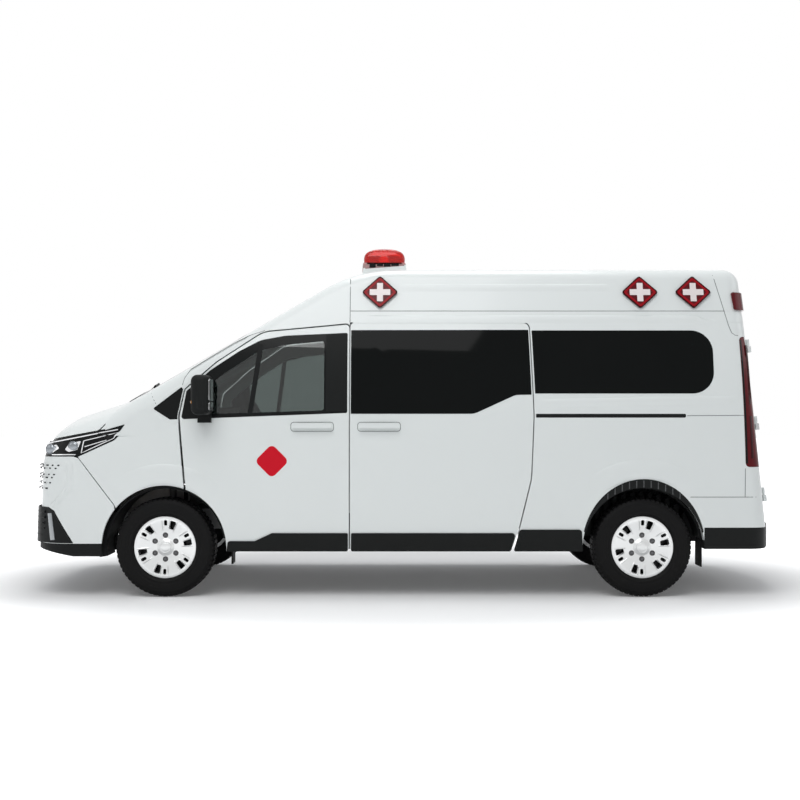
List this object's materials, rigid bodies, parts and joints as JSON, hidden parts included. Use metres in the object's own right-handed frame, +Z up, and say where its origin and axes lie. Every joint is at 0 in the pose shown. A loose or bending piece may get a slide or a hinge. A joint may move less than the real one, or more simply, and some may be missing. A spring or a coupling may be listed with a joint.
{
  "type": "ambulance van",
  "caption": "High-roof van ambulance with hollow cab and patient compartment, hinged front and rear doors, lifting bonnet, steered front wheels, roof light bar and side lamps",
  "frame": {"origin": "on the ground under the middle of the vehicle", "axes": "X forward along the vehicle, Y to its left, Z up"},
  "size_m": [5.3172, 2.49, 2.4712],
  "materials": {
    "body_white": "gloss",
    "dark_glass": "polished",
    "clear_glass": "polished",
    "black_trim": "matte",
    "red_lens": "gloss",
    "clear_lens": "gloss",
    "tyre_rubber": "matte",
    "wheel_silver": "satin",
    "chassis_black": "satin",
    "forged_steel": "satin",
    "cab_plastic": "matte",
    "seat_cloth": "matte",
    "floor_grey": "satin"
  },
  "bodies": {
    "van_body": {"cab_seats": "seat_cloth", "cant_rails": "body_white", "cross_lamps": "red_lens", "dashboard": "cab_plastic", "engine_block": "forged_steel", "exhaust": "forged_steel", "firewall": "chassis_black", "floor_pan": "floor_grey", "front_bumper": "body_white", "front_fenders": "body_white", "front_suspension": "chassis_black", "front_valance": "black_trim", "fuel_tank": "chassis_black", "headlamps": "clear_lens", "leaf_springs": "chassis_black", "light_bar_base": "body_white", "light_bar_lens": "red_lens", "mud_flaps": "black_trim", "partition": "cab_plastic", "pillars": "body_white", "quarter_panels": "body_white", "rear_axle": "chassis_black", "rear_bumper": "black_trim", "roof_panel": "body_white", "side_trims": "black_trim", "side_windows": "dark_glass", "sliding_doors": "body_white", "spare_wheel": "tyre_rubber", "steering_wheel": "cab_plastic", "tail_lamps": "red_lens", "wheel_liners": "black_trim", "windscreen": "clear_glass", "windscreen_frame": "body_white"},
    "bonnet_lid": {"bonnet": "body_white"},
    "door_front_left": {"front_door_left": "body_white", "front_window_left": "clear_glass", "door_cladding_left": "black_trim", "mirror_left": "black_trim"},
    "door_front_right": {"front_door_right": "body_white", "front_window_right": "clear_glass", "door_cladding_right": "black_trim", "mirror_right": "black_trim"},
    "door_rear_left": {"rear_door_left": "body_white", "rear_window_left": "dark_glass"},
    "door_rear_right": {"rear_door_right": "body_white", "rear_window_right": "dark_glass"},
    "steer_left": {"knuckle_left": "forged_steel"},
    "steer_right": {"knuckle_right": "forged_steel"},
    "wheel_front_left": {"tyre_front_left": "tyre_rubber", "rim_front_left": "wheel_silver"},
    "wheel_front_right": {"tyre_front_right": "tyre_rubber", "rim_front_right": "wheel_silver"},
    "wheel_rear_left": {"tyre_rear_left": "tyre_rubber", "rim_rear_left": "wheel_silver"},
    "wheel_rear_right": {"tyre_rear_right": "tyre_rubber", "rim_rear_right": "wheel_silver"}
  },
  "joints": [
    {"name": "left_steering", "type": "hinge", "parent": "van_body", "child": "steer_left", "pos_m": [1.6455, 0.82, 0.343], "axis": [0, 0, 1], "range_deg": [-33, 33]},
    {"name": "right_steering", "type": "hinge", "parent": "van_body", "child": "steer_right", "pos_m": [1.6455, -0.82, 0.343], "axis": [0, 0, 1], "range_deg": [-33, 33]},
    {"name": "front_left_roll", "type": "hinge", "parent": "steer_left", "child": "wheel_front_left", "pos_m": [1.6455, 0.868, 0.343], "axis": [0, 1, 0], "continuous": true},
    {"name": "front_right_roll", "type": "hinge", "parent": "steer_right", "child": "wheel_front_right", "pos_m": [1.6455, -0.868, 0.343], "axis": [0, 1, 0], "continuous": true},
    {"name": "rear_left_roll", "type": "hinge", "parent": "van_body", "child": "wheel_rear_left", "pos_m": [-1.6545, 0.868, 0.343], "axis": [0, 1, 0], "continuous": true},
    {"name": "rear_right_roll", "type": "hinge", "parent": "van_body", "child": "wheel_rear_right", "pos_m": [-1.6545, -0.868, 0.343], "axis": [0, 1, 0], "continuous": true},
    {"name": "front_left_door_hinge", "type": "hinge", "parent": "van_body", "child": "door_front_left", "pos_m": [1.4, 0.983, 1], "axis": [0, 0, -1], "range_deg": [0, 65]},
    {"name": "front_right_door_hinge", "type": "hinge", "parent": "van_body", "child": "door_front_right", "pos_m": [1.4, -0.983, 1], "axis": [0, 0, 1], "range_deg": [0, 65]},
    {"name": "rear_left_door_hinge", "type": "hinge", "parent": "van_body", "child": "door_rear_left", "pos_m": [-2.48284, 0.804, 1.2], "axis": [-0.1045, 0, -0.9945], "range_deg": [0, 170]},
    {"name": "rear_right_door_hinge", "type": "hinge", "parent": "van_body", "child": "door_rear_right", "pos_m": [-2.48284, -0.804, 1.2], "axis": [0.1045, 0, 0.9945], "range_deg": [0, 170]},
    {"name": "bonnet_hinge", "type": "hinge", "parent": "van_body", "child": "bonnet_lid", "pos_m": [1.94, 0, 1.342], "axis": [0, -1, 0], "range_deg": [0, 55]}
  ],
  "couplings": [
    {"joint": "right_steering", "follows": "left_steering", "ratio": 1}
  ]
}
